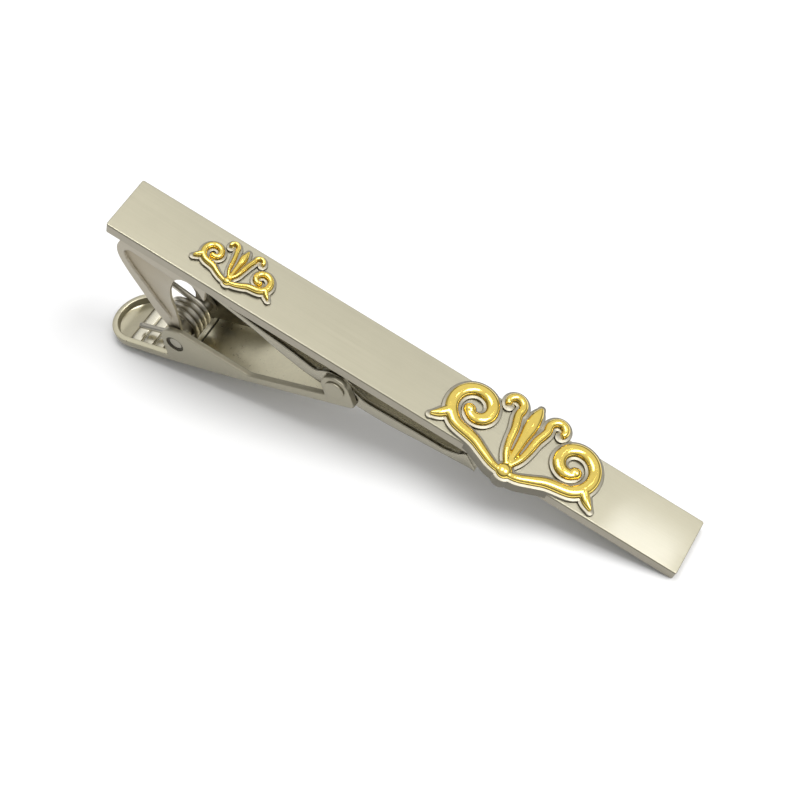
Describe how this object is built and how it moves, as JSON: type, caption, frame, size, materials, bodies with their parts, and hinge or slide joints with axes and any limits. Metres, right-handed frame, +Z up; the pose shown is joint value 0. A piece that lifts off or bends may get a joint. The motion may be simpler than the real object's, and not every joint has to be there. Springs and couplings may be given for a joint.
{
  "type": "tie clip",
  "caption": "Tie clip: satin nickel bar with raised gold scroll ornaments, and a sprung thumb lever under one end that works a rocking gripping jaw.",
  "frame": {"origin": "middle of the floor area under the clip as it lies on its thumb tab and the bar's free end", "axes": "+X along the clip from the thumb tab to the bar's free end, +Y across the bar, +Z up"},
  "size_m": [0.0626, 0.009, 0.0198],
  "materials": {
    "satin_nickel": "satin nickel plate with fine brush lines",
    "gold": "polished gold plate",
    "bright_steel": "bright drawn wire and pin"
  },
  "bodies": {
    "frame": {"front_bar": "satin_nickel", "large_ornament": "gold", "small_ornament": "gold", "bracket": "satin_nickel", "main_pin": "bright_steel", "torsion_spring": "bright_steel"},
    "lever": {"thumb_lever": "satin_nickel", "jaw_rivet": "satin_nickel"},
    "jaw": {"jaw": "satin_nickel"}
  },
  "joints": [
    {"name": "lever_hinge", "type": "hinge", "parent": "frame", "child": "lever", "pos_m": [-0.02136, 0, 0.00488], "axis": [0, 1, 0], "range_deg": [0, 28], "stiffness_Nm_per_rad": 0.02, "springref_deg": -60.16, "deforming": ["torsion_spring"]},
    {"name": "jaw_hinge", "type": "hinge", "parent": "lever", "child": "jaw", "pos_m": [-0.00275, 0, 0.00865], "axis": [0, -1, 0], "range_deg": [0, 4.5]}
  ]
}
